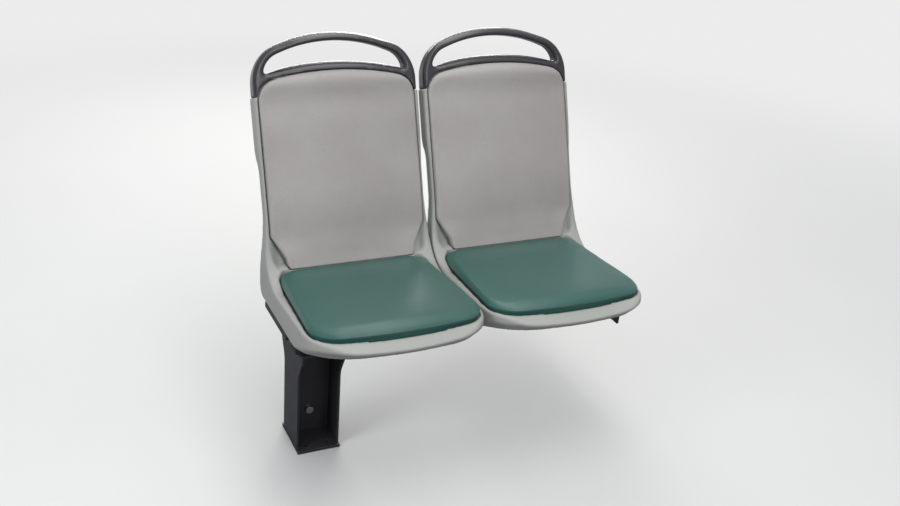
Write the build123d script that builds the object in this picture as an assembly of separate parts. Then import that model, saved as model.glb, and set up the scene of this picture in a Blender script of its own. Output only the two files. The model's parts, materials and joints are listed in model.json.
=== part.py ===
from build123d import *
import os
from math import atan2, cos, degrees, radians, sin, tan

# A fixed passenger seat for two: two moulded shells side by side on one steel frame.
# Sizes are millimetres. +X runs from the aisle to the side wall, -Y is the way the
# passengers face, +Z is up, and the origin is under the middle of the leg, on the floor.

# Places
place_gap = 3
junction_y = 100
junction_z = 430
back_recline = 19.5
pan_rise = 3

# Shell
shell_wall = 5
pocket_depth = 12
pan_drop = 26
shell_half_width = 221
waist_step = 10
shoulder_step = 7
rim_width = 10
rim_chamfer = 4.5
hip_top = 20
waist_low = 130
waist_high = 240
shoulder_low = 300
shoulder_depth = 42
waist_depth = 30
side_bend_radius = 500
hip_radius = 110
hip_back_y = 62
hip_overlap = 40
hip_skin_radius = 10
skirt_bottom_z = -84
skirt_front_z = -83
skirt_front_y = -225
skirt_corner_radius = 30
lip_reach = 40
lip_height = 30
lip_slope_length = 46
lip_slope = 25
front_corner_drop = 133
front_corner_radius = 125
rib_spacing = 60
rib_rows = 5
rib_thickness = 3
rib_height = 10
rib_gap = 3

# Back pad
pad_foot_step = 39
pad_elbow_step = 32
pad_elbow_height = 32
pad_chamfer_height = 86
pad_height = 482
pad_shoulder_drop = 70
pad_shoulder_radius = 55
pad_edge = 4
pad_crown = 14
pad_foot = 3
soft_chamfer = 5
soft_clearance = 0.8

# Seat cushion
cushion_rear_step = 29
cushion_rear = 10
cushion_chamfer_step = 15
cushion_chamfer_depth = 24
cushion_depth = 372
cushion_corner_drop = 81
cushion_corner_radius = 70
cushion_edge = 14
cushion_crown = 22
cushion_rear_gain = 10

# Grab handle
handle_step = 2
handle_rise = 95
handle_wrap = 58
handle_shoulder_drop = 122
handle_shoulder_radius = 100
handle_foot_depth = 46
handle_top_depth = 30
handle_chamfer = 6
bow_width = 22
grip_side_width = 29
grip_corner_drop = 81
grip_shoulder_radius = 55
grip_end_radius = 6
strip_height = 23
strip_gap = 1.5

# Rear cover
cover_wall = 3
cover_crown = 25
cover_bottom = 25

# Frame
seat_gap = 0.3
stay_offset = 110
stay_width = 30
stay_thickness = 5
stay_front_gap = 23
stay_front_depth = 12
stay_top_gap = 25
stay_gusset_top = 100
stay_heel_y = 15
tube_size = 40
tube_wall = 3
tube_spacing = 100
tube_top_z = -98
tube_inset = 26
side_rail_width = 40
side_rail_wall = 2.5
side_rail_front = 160
side_rail_rear = 10
plug_flange = 3
plug_length = 18
wall_plate_thickness = 6
wall_plate_length = 240
wall_plate_height = 100
wall_gap = 15
wall_hole_spacing_y = 200
wall_hole_spacing_z = 60
wall_hole_radius = 5.5
gusset_length = 60
gusset_height = 24
gusset_thickness = 5

# Leg and floor foot
leg_width = 110
leg_side_inset = 34
leg_depth = 110
leg_plate = 5
leg_web_y = 20
leg_tee_height = 70
leg_tee_tip = 14
leg_bend_radius = 60
leg_bolt_height = 62
leg_bolt_radius = 6
leg_head_radius = 10
leg_head_height = 8
saddle_thickness = 6
saddle_length = 170
foot_thickness = 8
foot_length = 136
foot_hole_spacing_x = 60
foot_hole_spacing_y = 92
foot_hole_radius = 5.5
upstand_height = 95
upstand_width = 80
upstand_thickness = 6
bolt_clearance = 0.5

# Worked out from the sizes above
recline = radians(back_recline)
rise = radians(pan_rise)
inner_half_width = shell_half_width - shell_wall
waist_half_width = shell_half_width - waist_step
shoulder_half_width = shell_half_width - shoulder_step
skin_depth = pocket_depth + shell_wall
pad_half_width = shoulder_half_width - rim_width
cushion_half_width = shell_half_width - rim_width
pan_depth = cushion_depth + lip_reach
lip_start = pan_depth - lip_slope_length
stay_front = cushion_depth - stay_front_gap
stay_top = pad_height - stay_top_gap
handle_half_width = shoulder_half_width - handle_step
handle_foot = pad_height - handle_wrap
handle_top = pad_height + handle_rise
grip_half_width = handle_half_width - grip_side_width
grip_top = handle_top - bow_width
grip_corner_height = grip_top - grip_corner_drop
strip_top = pad_height + strip_height
aisle_place_x = shell_half_width - leg_side_inset - leg_width / 2
window_place_x = aisle_place_x + 2 * shell_half_width + place_gap
tube_y = tube_spacing / 2
tube_top = junction_z + tube_top_z
tube_bottom = tube_top - tube_size
tube_centre_z = tube_top - tube_size / 2
tube_aisle_x = aisle_place_x - shell_half_width + tube_inset
saddle_bottom = tube_bottom - saddle_thickness
side_rail_height = skirt_bottom_z - seat_gap - tube_top_z
wall_plate_inner_x = window_place_x + shell_half_width + wall_gap
places = {"aisle": aisle_place_x, "window": window_place_x}

# Planes of one place, whose own origin is where its pad and cushion meet
back_plane = Plane((0, 0, 0), x_dir=(1, 0, 0), z_dir=(0, -cos(recline), sin(recline)))
along_back = Vector(0, sin(recline), cos(recline))
pan_plane = Plane((0, 0, -pan_drop), x_dir=(-1, 0, 0), z_dir=(0, sin(rise), cos(rise)))


def on_back(height, depth):
    """Side view point (y, z) at a height along the back and a depth behind its front."""
    return (
        height * sin(recline) + depth * cos(recline),
        height * cos(recline) - depth * sin(recline),
    )


def on_pan(forward, below):
    """Side view point (y, z) at a distance forward along the pan and below its rim."""
    return (
        -forward * cos(rise) - below * sin(rise),
        -pan_drop + forward * sin(rise) - below * cos(rise),
    )


def at_hip(depth):
    """Side view point where the lines at this depth behind back and pan cross."""
    height = (depth * sin(recline) - pan_drop - depth / cos(rise) - depth * tan(rise) * cos(recline)) / (
        cos(recline) + tan(rise) * sin(recline)
    )
    return on_back(height, depth)


def arch(base, half_width, top, drop, shoulder_radius):
    """Face with sides through the base points, and a shouldered arch that drops from its top."""
    foot = top - drop
    crown_radius = (half_width**2 - 2 * half_width * shoulder_radius + drop**2) / (
        2 * (drop - shoulder_radius)
    )
    shoulder = Vector(half_width - shoulder_radius, foot)
    crown = Vector(0, top - crown_radius)
    toward = (shoulder - crown).normalized()
    meet = crown + toward * crown_radius
    middle = shoulder + (Vector(1, 0) + toward).normalized() * shoulder_radius
    right = base + [(half_width, foot)]
    left = [(-x, y) for x, y in reversed(right)]
    return make_face(
        [
            Polyline(*right),
            ThreePointArc((half_width, foot), middle, meet),
            ThreePointArc(meet, (0, top), (-meet.X, meet.Y)),
            ThreePointArc((-meet.X, meet.Y), (-middle.X, middle.Y), (-half_width, foot)),
            Polyline(*left, base[0]),
        ]
    )


def mirrored_face(points, radius):
    """Face between a bent side line and its mirror image."""
    side = FilletPolyline(*points, radius=radius)
    other = side.mirror(Plane.YZ)
    first, last = points[0], points[-1]
    ends = [Line((-first[0], first[1]), first), Line(last, (-last[0], last[1]))]
    return make_face([side, other] + ends)


def through(plane, face, front, behind):
    """Straight block of a face, from behind its plane to in front of it."""
    return extrude(plane.offset(-behind) * face, front + behind)


def side_block(points, radii, half_width):
    """Block of a side view outline, as wide as the place."""
    outline = make_face(FilletPolyline(*points, radius=radii, close=True))
    return extrude(Plane.YZ * outline, half_width, both=True)


def box_between(low, high):
    """Box between two corners."""
    size = Vector(high) - Vector(low)
    return Pos(Vector(low)) * Box(size.X, size.Y, size.Z, align=Align.MIN)


def pad_face(margin):
    """Outline of the back pad, grown by a margin."""
    half_width = pad_half_width + margin
    base = [
        (half_width - pad_foot_step, pad_foot - margin),
        (half_width - pad_elbow_step, pad_elbow_height),
        (half_width, pad_chamfer_height),
    ]
    shoulder_radius = pad_shoulder_radius + margin
    return arch(base, half_width, pad_height + margin, pad_shoulder_drop + margin, shoulder_radius)


def cushion_face(margin):
    """Outline of the cushion seen from above, grown by a margin."""
    half_width = cushion_half_width + margin
    base = [
        (half_width - cushion_rear_step, cushion_rear - margin),
        (half_width - cushion_chamfer_step, cushion_chamfer_depth),
    ]
    drop = cushion_corner_drop + margin
    return arch(base, half_width, cushion_depth + margin, drop, cushion_corner_radius + margin)


def back_face(inset):
    """Outline of the shell's back, drawn in from its outside by an inset."""
    side = [
        (shell_half_width - inset, -130),
        (shell_half_width - inset, hip_top),
        (waist_half_width - inset, waist_low),
        (waist_half_width - inset, waist_high),
        (shoulder_half_width - inset, shoulder_low),
        (shoulder_half_width - inset, handle_foot - inset),
    ]
    return mirrored_face(side, side_bend_radius) + pad_face(strip_gap - seat_gap - inset)


def pan_face(inset):
    """Outline of the shell's pan seen from above, drawn in from its outside."""
    half_width = shell_half_width - inset
    base = [(half_width, hip_overlap)]
    drop = front_corner_drop - inset
    return arch(base, half_width, pan_depth - inset, drop, front_corner_radius - inset)


def front_faces(solid):
    """Faces of a place that look forward and up."""
    toward = Vector(0, -0.55, 0.83)
    return [face for face in solid.faces() if face.normal_at().dot(toward) > 0.7]


def border(faces):
    """Edges that only one of the faces has: the border of all of them together."""
    edges = [edge for face in faces for edge in face.edges()]
    return [edge for edge in edges if sum(edge.is_same(other) for other in edges) == 1]


def make_shell():
    """One-piece moulded shell: an L in side view, hollow from behind and below."""
    beyond = pan_depth + 20
    slope_drop = (beyond - lip_start) * tan(radians(lip_slope))
    rim_points = [
        on_pan(beyond, lip_height),
        on_pan(beyond, slope_drop),
        on_pan(lip_start, 0),
        at_hip(0),
        on_back(pad_height + 20, 0),
        on_back(pad_height + 20, shoulder_depth),
        on_back(shoulder_low - 10, shoulder_depth),
        on_back(waist_high + 10, waist_depth),
        on_back(waist_low + 20, waist_depth),
        (hip_back_y, 60),
        (hip_back_y, skirt_bottom_z),
        (skirt_front_y, skirt_front_z),
    ]
    rim_radii = [0, 0, 60, hip_radius, 0, 0, 60, 60, 100, 100, skirt_corner_radius, 150]
    solid = side_block(rim_points, rim_radii, shell_half_width + 10)
    solid &= through(back_plane, back_face(0), 130, 150) + through(pan_plane, pan_face(0), hip_overlap, 130)
    rim_edges = [
        edge for edge in border(front_faces(solid)) if edge.center().dot(along_back) < handle_foot - 1
    ]
    solid = chamfer(rim_edges, rim_chamfer)
    solid -= through(back_plane, pad_face(soft_clearance), 130, pocket_depth)
    solid -= through(pan_plane, cushion_face(soft_clearance), 130, pocket_depth)
    hollow_points = [
        on_pan(beyond, slope_drop + shell_wall),
        on_pan(lip_start + pocket_depth / tan(radians(lip_slope)), skin_depth),
        at_hip(skin_depth),
        on_back(pad_height + 60, skin_depth),
        on_back(pad_height + 60, 200),
        on_back(-300, 200),
        on_pan(beyond, 300),
    ]
    hollow = side_block(hollow_points, [0, 0, hip_skin_radius, 0, 0, 0, 0], shell_half_width)
    inner = through(back_plane, back_face(shell_wall), 130, 150)
    inner += through(pan_plane, pan_face(shell_wall), hip_overlap, 130)
    return solid - (hollow & inner) + make_ribs()


def make_ribs():
    """Rows of stiffening ribs under the pan, which leave room for the stays."""
    outer = inner_half_width - 2 * rib_gap
    stay_edge = stay_width / 2 + rib_gap
    spans = [
        (-outer, -stay_offset - stay_edge),
        (-stay_offset + stay_edge, stay_offset - stay_edge),
        (stay_offset + stay_edge, outer),
    ]
    ribs = []
    for row in range(rib_rows):
        forward = rib_spacing * (row + 1)
        for left, right in spans:
            rib = Box(right - left, rib_thickness, rib_height + 1, align=(Align.MIN, Align.CENTER, Align.MIN))
            ribs.append(pan_plane * Pos(left, forward, -skin_depth - rib_height) * rib)
    return ribs


def make_rear_cover():
    """Crowned panel that closes the shell's back between its side flanges."""
    half = inner_half_width
    edge = skin_depth + seat_gap
    start = Plane(Vector(0, *on_back(cover_bottom, 0)), x_dir=(1, 0, 0), z_dir=along_back)
    crescent = make_face(
        [
            ThreePointArc((-half, edge), (0, edge + cover_crown), (half, edge)),
            Line((half, edge), (half, edge + cover_wall)),
            ThreePointArc(
                (half, edge + cover_wall),
                (0, edge + cover_crown + cover_wall),
                (-half, edge + cover_wall),
            ),
            Line((-half, edge + cover_wall), (-half, edge)),
        ]
    )
    panel = extrude(start * crescent, pad_height - cover_bottom)
    return panel & through(back_plane, back_face(shell_wall + seat_gap), 0, 2 * shoulder_depth)


def crowned(plane, face, half_width, length, edge, crown, rear_gain):
    """Block of a face in its pocket, crowned across, which gains height towards its rear."""
    bow = crown - edge
    radius = (half_width**2 + bow**2) / (2 * bow)
    drum = Cylinder(radius, 3 * length)
    tilt = degrees(atan2(rear_gain, length))
    solid = through(plane, face, 2 * crown, pocket_depth - seat_gap)
    solid &= plane * Pos(0, length, crown - radius) * Rot(90 - tilt, 0, 0) * drum
    return chamfer(border(front_faces(solid)), soft_chamfer)


def make_back_pad():
    """Back pad, which looks forward."""
    return crowned(back_plane, pad_face(0), pad_half_width, pad_height, pad_edge, pad_crown, 0)


def make_cushion():
    """Seat cushion, which looks up."""
    edge, crown = cushion_edge, cushion_crown
    face = cushion_face(0)
    return crowned(pan_plane, face, cushion_half_width, cushion_depth, edge, crown, cushion_rear_gain)


def curved(edges):
    """The edges that aren't straight."""
    return [edge for edge in edges if edge.geom_type != GeomType.LINE]


def grip_opening():
    """Outline of the handle's opening: an arch over the curved top of the cap strip."""
    bow = strip_top - grip_corner_height
    strip_radius = (grip_half_width**2 + bow**2) / (2 * bow)
    base = [(grip_half_width, grip_corner_height - bow)]
    opening = arch(base, grip_half_width, grip_top, grip_corner_drop, grip_shoulder_radius)
    opening -= Pos(0, strip_top - strip_radius) * Circle(strip_radius)
    return fillet(opening.vertices().sort_by(Axis.Y)[:2], grip_end_radius)


def make_handle():
    """Grab handle: bow and cap strip round a grip opening, with ends that wrap the shell."""
    base = [(handle_half_width, handle_foot)]
    outer = arch(base, handle_half_width, handle_top, handle_shoulder_drop, handle_shoulder_radius)
    beyond = handle_top + handle_chamfer
    side_points = [
        on_back(handle_foot, 0),
        on_back(beyond, 0),
        on_back(beyond, handle_top_depth),
        on_back(handle_foot, handle_foot_depth),
    ]
    blank = through(back_plane, outer, 0, handle_foot_depth)
    blank &= side_block(side_points, [0] * 4, handle_half_width)
    handle = chamfer(curved(blank.edges()), handle_chamfer)
    room = through(back_plane, grip_opening(), 1, handle_foot_depth + 1)
    opened = handle - room
    handle = chamfer(curved(new_edges(handle, room, combined=opened)), handle_chamfer)
    return handle - through(back_plane, pad_face(strip_gap), 1, handle_foot_depth + 1)


def make_stay():
    """Steel strap that follows the shell's skin, with a web that sits on the tubes."""
    near = skin_depth + seat_gap
    far = near + stay_thickness
    near_radius = hip_skin_radius + seat_gap
    strap_points = [
        on_pan(stay_front, near),
        at_hip(near),
        on_back(stay_top, near),
        on_back(stay_top, far),
        at_hip(far),
        on_pan(stay_front, far),
    ]
    strap_radii = [0, near_radius, 0, 0, near_radius + stay_thickness, 0]
    strap = side_block(strap_points, strap_radii, stay_width / 2)
    web_points = [
        on_pan(stay_front, far - 1),
        at_hip(far - 1),
        on_back(stay_gusset_top, far - 1),
        on_back(stay_gusset_top, far),
        (stay_heel_y, tube_top_z),
        (-tube_y - tube_size / 2 - junction_y, tube_top_z),
        on_pan(stay_front, near + stay_front_depth),
    ]
    web = side_block(web_points, [0, 0, 0, 0, 20, 20, 0], stay_thickness / 2)
    return strap + web


def tube_section(width, height, wall):
    """Section of a rectangular tube."""
    return Rectangle(width, height) - Rectangle(width - 2 * wall, height - 2 * wall)


def make_plug(width, height, wall):
    """Plastic plug for the end of a rectangular tube, looking along +X."""
    inset = 2 * (wall + seat_gap)
    flange = extrude(Plane.YZ * Rectangle(width, height), plug_flange)
    stem = extrude(Plane.YZ * Rectangle(width - inset, height - inset), -plug_length)
    return flange + stem


def make_cross_tube(y):
    """Square tube from under the shell's aisle edge to the wall plate."""
    section = tube_section(tube_size, tube_size, tube_wall)
    length = wall_plate_inner_x - tube_aisle_x
    return Pos(tube_aisle_x, y, tube_centre_z) * extrude(Plane.YZ * section, length)


def at_side_rail(y):
    """Place on the side rail's centre line."""
    x = aisle_place_x - shell_half_width + side_rail_width / 2
    return Pos(x, junction_y + y, tube_top + side_rail_height / 2)


def make_side_rail():
    """Flat rail under the shell's aisle edge, across the ends of the cross tubes."""
    section = tube_section(side_rail_width, side_rail_height, side_rail_wall)
    return at_side_rail(side_rail_rear) * extrude(Plane.XZ * section, side_rail_front + side_rail_rear)


def make_wall_plate():
    """Plate that bolts the frame to the rail on the side wall."""
    section = Rectangle(wall_plate_length, wall_plate_height)
    section -= GridLocations(wall_hole_spacing_y, wall_hole_spacing_z, 2, 2) * Circle(wall_hole_radius)
    plate = Pos(wall_plate_inner_x, 0, tube_centre_z) * extrude(Plane.YZ * section, wall_plate_thickness)
    gusset = make_face(
        Polyline(
            (wall_plate_inner_x + 1, tube_bottom),
            (wall_plate_inner_x - gusset_length, tube_bottom),
            (wall_plate_inner_x + 1, tube_bottom - gusset_height),
            close=True,
        )
    )
    rib = extrude(Plane.XZ * gusset, gusset_thickness / 2, both=True)
    return plate + [Pos(0, -tube_y, 0) * rib, Pos(0, tube_y, 0) * rib]


def make_leg():
    """Pedestal: a channel open to the front whose side plates spread into a tee."""
    tee_start = saddle_bottom - leg_tee_height
    tee = [
        (-leg_depth / 2, foot_thickness),
        (leg_depth / 2, foot_thickness),
        (leg_depth / 2, tee_start),
        (saddle_length / 2, saddle_bottom - leg_tee_tip),
        (saddle_length / 2, saddle_bottom),
        (-saddle_length / 2, saddle_bottom),
        (-saddle_length / 2, saddle_bottom - leg_tee_tip),
        (-leg_depth / 2, tee_start),
    ]
    tee_radii = [0, 0, leg_bend_radius, 0, 0, 0, 0, leg_bend_radius]
    channel = side_block(tee, tee_radii, leg_width / 2)
    channel -= side_block(tee, tee_radii, leg_width / 2 - leg_plate)
    web = box_between(
        (-leg_width / 2 + leg_plate / 2, leg_web_y, foot_thickness),
        (leg_width / 2 - leg_plate / 2, leg_web_y + leg_plate, saddle_bottom),
    )
    return channel + web - leg_bolt_hole()


def leg_bolt_hole():
    """Clearance hole for the bolt that joins leg and floor foot."""
    hole = Cylinder(leg_bolt_radius + bolt_clearance, leg_depth)
    return Pos(0, leg_web_y, foot_thickness + leg_bolt_height) * Rot(90, 0, 0) * hole


def make_leg_bolt():
    """Bolt through the leg's web and the foot's upstand, with its head and nut."""
    grip = leg_plate + upstand_thickness
    shank = Cylinder(leg_bolt_radius, grip + 2 * leg_head_height)
    head = Cylinder(leg_head_radius, leg_head_height)
    nut = extrude(RegularPolygon(leg_head_radius, 6, major_radius=False), leg_head_height / 2, both=True)
    reach = (grip + leg_head_height) / 2
    bolt = shank + Pos(0, 0, reach) * head + Pos(0, 0, -reach) * nut
    return Pos(0, leg_web_y + grip / 2, foot_thickness + leg_bolt_height) * Rot(90, 0, 0) * bolt


def make_saddle():
    """Plate on the leg that the cross tubes rest on."""
    return box_between(
        (-leg_width / 2, -saddle_length / 2, saddle_bottom),
        (leg_width / 2, saddle_length / 2, tube_bottom),
    )


def make_floor_foot():
    """Foot plate with its bolt holes and the upstand behind the leg's web."""
    section = Rectangle(leg_width, foot_length)
    section -= GridLocations(foot_hole_spacing_x, foot_hole_spacing_y, 2, 2) * Circle(foot_hole_radius)
    plate = extrude(section, foot_thickness)
    upstand_y = leg_web_y + leg_plate
    upstand = box_between(
        (-upstand_width / 2, upstand_y, foot_thickness),
        (upstand_width / 2, upstand_y + upstand_thickness, foot_thickness + upstand_height),
    )
    return plate + upstand - leg_bolt_hole()


pieces = {
    "seat_shell": make_shell(),
    "rear_cover": make_rear_cover(),
    "back_pad": make_back_pad(),
    "seat_cushion": make_cushion(),
    "grab_handle": make_handle(),
}
stay = make_stay()
rail_plug = make_plug(side_rail_width, side_rail_height, side_rail_wall)
tube_plug = make_plug(tube_size, tube_size, tube_wall)
nodes = {
    "front_cross_tube": make_cross_tube(-tube_y),
    "rear_cross_tube": make_cross_tube(tube_y),
    "front_tube_plug": Pos(tube_aisle_x, -tube_y, tube_centre_z) * Rot(0, 0, 180) * tube_plug,
    "rear_tube_plug": Pos(tube_aisle_x, tube_y, tube_centre_z) * Rot(0, 0, 180) * tube_plug,
    "aisle_side_rail": make_side_rail(),
    "front_rail_plug": at_side_rail(-side_rail_front) * Rot(0, 0, -90) * rail_plug,
    "rear_rail_plug": at_side_rail(side_rail_rear) * Rot(0, 0, 90) * rail_plug,
    "wall_plate": make_wall_plate(),
    "leg": make_leg(),
    "leg_saddle": make_saddle(),
    "leg_bolt": make_leg_bolt(),
    "floor_foot": make_floor_foot(),
}
for place, place_x in places.items():
    for name, solid in pieces.items():
        nodes[f"{name}_{place}"] = Pos(place_x, junction_y, junction_z) * solid
    for side, offset in (("left", -stay_offset), ("right", stay_offset)):
        nodes[f"seat_stay_{place}_{side}"] = Pos(place_x + offset, junction_y, junction_z) * stay
os.makedirs("parts", exist_ok=True)
for name, solid in nodes.items():
    export_step(solid, f"parts/{name}.step")
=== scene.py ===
# %% [markdown]
# # A double passenger seat, dressed for its portrait
#
# The seat arrives as a fixed frame of plain solids: two moulded shells on one steel frame,
# with pads, cushions, grab handles, a leg and a wall plate. The lesson gives them what plain
# solids leave out: padded skins, moulded edges, grained plastics, powder coat and fixings.
# Everything is in metres. +X runs from the aisle to the side wall, -Y is the way the
# passengers face, and +Z is up.

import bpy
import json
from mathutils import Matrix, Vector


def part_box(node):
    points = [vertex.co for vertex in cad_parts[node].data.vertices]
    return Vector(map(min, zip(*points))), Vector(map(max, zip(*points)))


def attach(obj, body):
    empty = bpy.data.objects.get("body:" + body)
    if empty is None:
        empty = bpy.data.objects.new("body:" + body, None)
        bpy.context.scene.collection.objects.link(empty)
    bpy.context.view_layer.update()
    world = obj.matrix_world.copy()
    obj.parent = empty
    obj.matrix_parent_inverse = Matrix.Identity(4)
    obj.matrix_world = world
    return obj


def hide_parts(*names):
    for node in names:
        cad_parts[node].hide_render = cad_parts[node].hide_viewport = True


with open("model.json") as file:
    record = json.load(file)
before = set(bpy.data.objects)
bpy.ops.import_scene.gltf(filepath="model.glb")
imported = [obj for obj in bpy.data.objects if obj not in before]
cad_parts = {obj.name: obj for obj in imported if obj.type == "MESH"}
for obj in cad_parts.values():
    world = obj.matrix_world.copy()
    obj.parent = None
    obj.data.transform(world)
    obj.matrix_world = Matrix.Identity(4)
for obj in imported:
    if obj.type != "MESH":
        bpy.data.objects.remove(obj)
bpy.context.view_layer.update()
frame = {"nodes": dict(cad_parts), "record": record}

# %% [markdown]
# ## The camera
#
# The photograph was taken standing, in front of the seats and a little to their aisle side.
# The camera keeps that standpoint, so every line of sight is the photograph's own. It is only
# turned to bring the seat to the middle, with a longer lens, and leans a few degrees, because
# upright lines lean that way at the seat's place in the photograph.

# %% Stand where the photographer stood
import json
from math import cos, pi, radians, sin

import bmesh
import bpy
import numpy as np
from mathutils import Matrix, Quaternion, Vector

scene = bpy.context.scene
eye = Vector((-0.717, -2.114, 1.5735))
aim = Vector((0.355, 0.0, 0.475))
lean = radians(-4.9)


def new_object(name, data):
    """Object in the scene that holds a mesh, a lamp or a lens."""
    made = bpy.data.objects.new(name, data)
    scene.collection.objects.link(made)
    return made


look = (aim - eye).normalized()
lens = bpy.data.cameras.new("portrait_lens")
lens.lens = 41.5
camera = new_object("portrait_camera", lens)
camera.rotation_mode = "QUATERNION"
camera.rotation_quaternion = Quaternion(look, lean) @ look.to_track_quat("-Z", "Y")
camera.location = eye
scene.camera = camera
print("camera looks down by", round(-np.degrees(np.arcsin(look.z)), 1), "degrees")

# %% [markdown]
# ## The studio
#
# A pale floor takes the seat's shadow, so that the leg stands on something. It is one large
# square made from four points. The Standard view keeps colours as they are written, where
# the default one would grey them.

# %% Lay the floor
scene.view_settings.view_transform = "Standard"


def new_mesh_object(name, points, faces):
    """Object of its own from plain lists of points and faces."""
    mesh = bpy.data.meshes.new(name)
    mesh.from_pydata(points, [], faces)
    return new_object(name, mesh)


floor_reach = 14.0
corners = [(floor_reach * x, floor_reach * y, 0) for x, y in ((-1, -1), (1, -1), (1, 1), (-1, 1))]
floor = new_mesh_object("studio_floor", corners, [(0, 1, 2, 3)])
print("floor reaches", floor_reach, "m each way")

# %% [markdown]
# The sky gives even light from all round. An even sky would also light what looks sideways
# and down as much as what looks up, so it is dimmer towards the horizon, and the underside of
# the lip stays dark. Where the camera sees the sky itself, Light Path swaps it for a near
# white, which puts no light on the seat.

# %% Give the studio its sky
near_white, cool_white = (0.84, 0.84, 0.84, 1), (0.93, 0.96, 1.0, 1)
dim, bright = 0.3, 0.72


def feed(node, label, value):
    """Link or set one input of a node."""
    if isinstance(value, bpy.types.NodeSocket):
        node.id_data.links.new(value, node.inputs[label])
    else:
        node.inputs[label].default_value = value


def add(tree, kind, values=(), **settings):
    """Node of a kind, with its settings and the values or links of its inputs."""
    made = tree.nodes.new(kind)
    for label, value in settings.items():
        setattr(made, label, value)
    for label, value in dict(values).items():
        feed(made, label, value)
    return made


def sums(tree, operation, first, second, clamp=False):
    """One step of arithmetic on sockets or plain numbers."""
    values = {0: first, 1: second}
    return add(tree, "ShaderNodeMath", values, operation=operation, use_clamp=clamp).outputs[0]


def vary(tree, mask, low, high):
    """Number that follows a mask between two values."""
    values = {"Value": mask, "To Min": low, "To Max": high}
    return add(tree, "ShaderNodeMapRange", values).outputs[0]


sky = bpy.data.worlds.new("studio_sky")
sky.use_nodes = True
scene.world = sky
tree = sky.node_tree
tree.nodes.clear()
way = add(tree, "ShaderNodeTexCoord")
height = add(tree, "ShaderNodeSeparateXYZ", {0: way.outputs["Generated"]})
level = vary(tree, height.outputs["Z"], dim, bright)
soft = add(tree, "ShaderNodeBackground", {"Color": cool_white, "Strength": level})
plain = add(tree, "ShaderNodeBackground", {"Color": near_white})
rays = add(tree, "ShaderNodeLightPath")
seen = sums(tree, "MAXIMUM", rays.outputs["Is Camera Ray"], rays.outputs["Is Transmission Ray"])
swap = add(tree, "ShaderNodeMixShader", {0: seen, 1: soft.outputs[0], 2: plain.outputs[0]})
add(tree, "ShaderNodeOutputWorld", {"Surface": swap.outputs[0]})
print("sky nodes:", len(tree.nodes))

# %% [markdown]
# The lamps are large soft panels: one long one overhead, a weaker one high in front, one from
# the aisle side that lights the flanges, and one from high behind for the rear covers. A large
# panel gives a soft shadow and a long soft highlight on a round edge. The aisle panel isn't
# mirrored, because the dark handle ends would show it as a grey patch.

# %% Hang the lamps
def hang_panel(name, place, target, size, watts, colour, mirrored=True):
    """Soft rectangular lamp that looks at a target."""
    panel = bpy.data.lights.new(name, "AREA")
    panel.shape = "RECTANGLE"
    panel.size, panel.size_y = size
    panel.energy = watts
    panel.color = colour
    lamp = new_object(name, panel)
    lamp.location = place
    lamp.rotation_euler = (Vector(target) - Vector(place)).to_track_quat("-Z", "Y").to_euler()
    lamp.visible_camera = False
    lamp.visible_glossy = mirrored


hang_panel(
    "ceiling_panel", (0.8, 0.0, 3.2), target=(0.8, 0.0, 0.0),
    size=(1.2, 5.0), watts=48, colour=(1.0, 0.985, 0.96),
)
hang_panel(
    "front_panel", (0.2, -3.8, 2.7), target=(0.35, 0.0, 0.5),
    size=(2.0, 2.0), watts=40, colour=(0.95, 0.98, 1.0),
)
hang_panel(
    "aisle_panel", (-3.2, -1.0, 1.9), target=(0.3, 0.0, 0.5),
    size=(1.6, 1.6), watts=58, colour=(0.93, 0.97, 1.0), mirrored=False,
)
hang_panel(
    "rear_panel", (1.1, 3.3, 1.9), target=(0.35, 0.3, 0.9),
    size=(2.4, 0.9), watts=60, colour=(1.0, 0.99, 0.97),
)
print("lamps:", [(light.name, light.energy) for light in bpy.data.lights])

# %% [markdown]
# ## Shared surface effects
#
# The seat has eight finishes, and several share an effect: grain, mottled colour and wear
# along edges. Each effect is a node group, built once, whose named sockets give every
# material its own values. A group puts out masks, colours, heights and normals only, and the
# Principled shader stays in the material.

# %% Tools for building node groups
VALUE, COLOUR, VECTOR = "NodeSocketFloat", "NodeSocketColor", "NodeSocketVector"


def new_group(name, inputs, outputs):
    """Empty group with named sockets, and its two end nodes."""
    group = bpy.data.node_groups.new(name, "ShaderNodeTree")
    for label, kind, value in inputs:
        socket = group.interface.new_socket(label, in_out="INPUT", socket_type=kind)
        socket.default_value = value
    for label, kind in outputs:
        group.interface.new_socket(label, in_out="OUTPUT", socket_type=kind)
    return group, group.nodes.new("NodeGroupInput"), group.nodes.new("NodeGroupOutput")


def blend(tree, factor, first, second):
    """Colour between two others."""
    return add(tree, "ShaderNodeMix", {0: factor, 6: first, 7: second}, data_type="RGBA").outputs[2]


def noise(tree, scale, detail, roughness=0.5):
    """Noise over a piece's own coordinates. Scale is in lumps per metre."""
    place = add(tree, "ShaderNodeTexCoord")
    values = {"Vector": place.outputs["Object"], "Scale": scale}
    values |= {"Detail": detail, "Roughness": roughness}
    return add(tree, "ShaderNodeTexNoise", values)


def spread(tree, value, low, high):
    """Mask that is 0 where a value is at low and 1 where it is at high."""
    values = {"Value": value, "From Min": low, "From Max": high}
    return add(tree, "ShaderNodeMapRange", values).outputs[0]


# %% [markdown]
# Moulded plastic and powder coat both have a fine random relief, called grain on a moulding
# and orange peel on a coating. As faces it would be millions, so it is noise at the size of
# one grain, and a broad noise adds the slight waves of a large surface. The group gives the
# height, and each material sets how deep its own Bump node cuts. Shade is the grain alone.

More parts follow.
